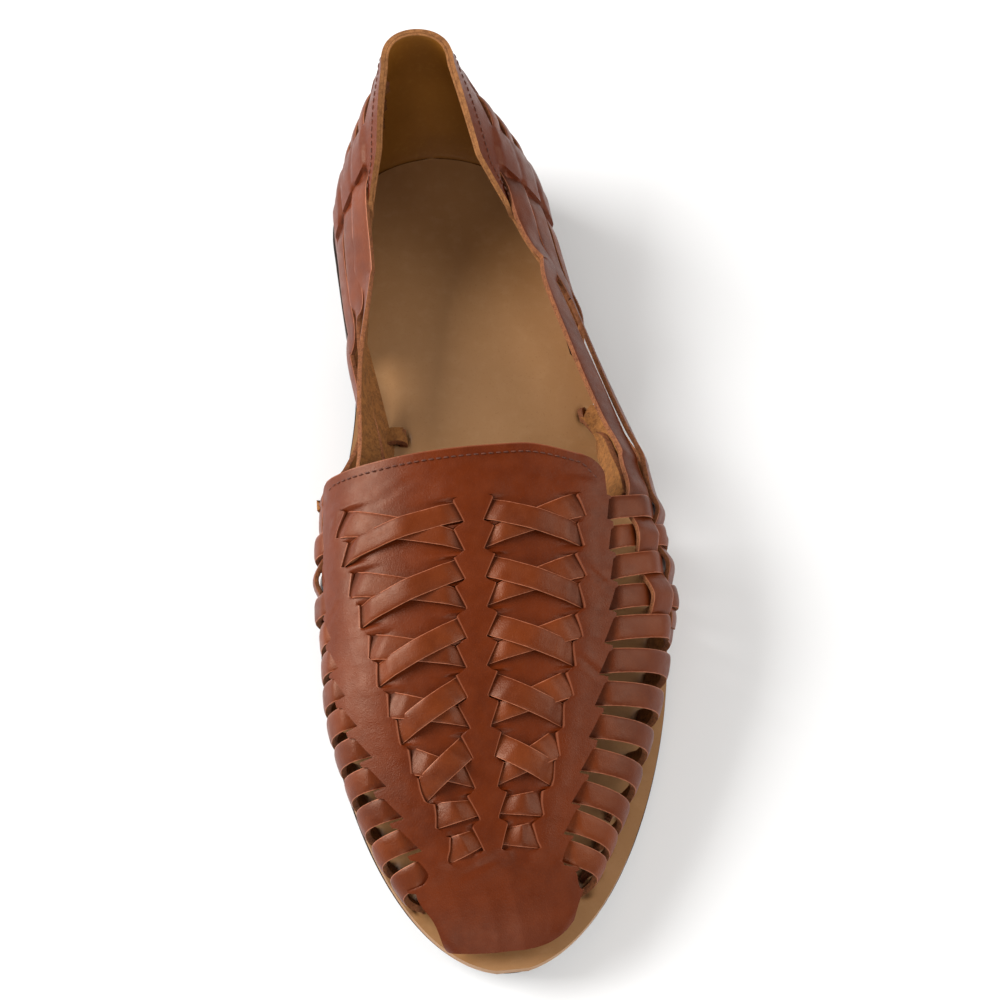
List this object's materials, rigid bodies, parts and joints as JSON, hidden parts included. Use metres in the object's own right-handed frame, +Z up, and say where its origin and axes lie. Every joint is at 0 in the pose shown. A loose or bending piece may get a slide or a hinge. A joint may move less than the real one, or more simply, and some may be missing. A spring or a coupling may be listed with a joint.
{
  "type": "huarache sandal",
  "caption": "Woven leather huarache sandal for the left foot, closed heel, open waist, crossed straps through a slit vamp, tan insole and a low heel.",
  "frame": {"origin": "on the floor, under the middle of the sandal's box", "axes": "+X to the outer side of the foot, +Y to the heel, along the longest extent, +Z up"},
  "size_m": [0.1058, 0.2666, 0.074],
  "materials": {
    "upper_leather": "smooth red-brown leather, half gloss, raw tan edges",
    "insole_leather": "smooth tan leather, nearly matt",
    "outsole_rubber": "very dark brown, matt, fine cross grooves",
    "heel_rubber": "very dark brown, matt"
  },
  "bodies": {
    "root": {"outsole": "outsole_rubber", "heel": "heel_rubber", "insole": "insole_leather", "upper": "upper_leather"}
  },
  "joints": []
}
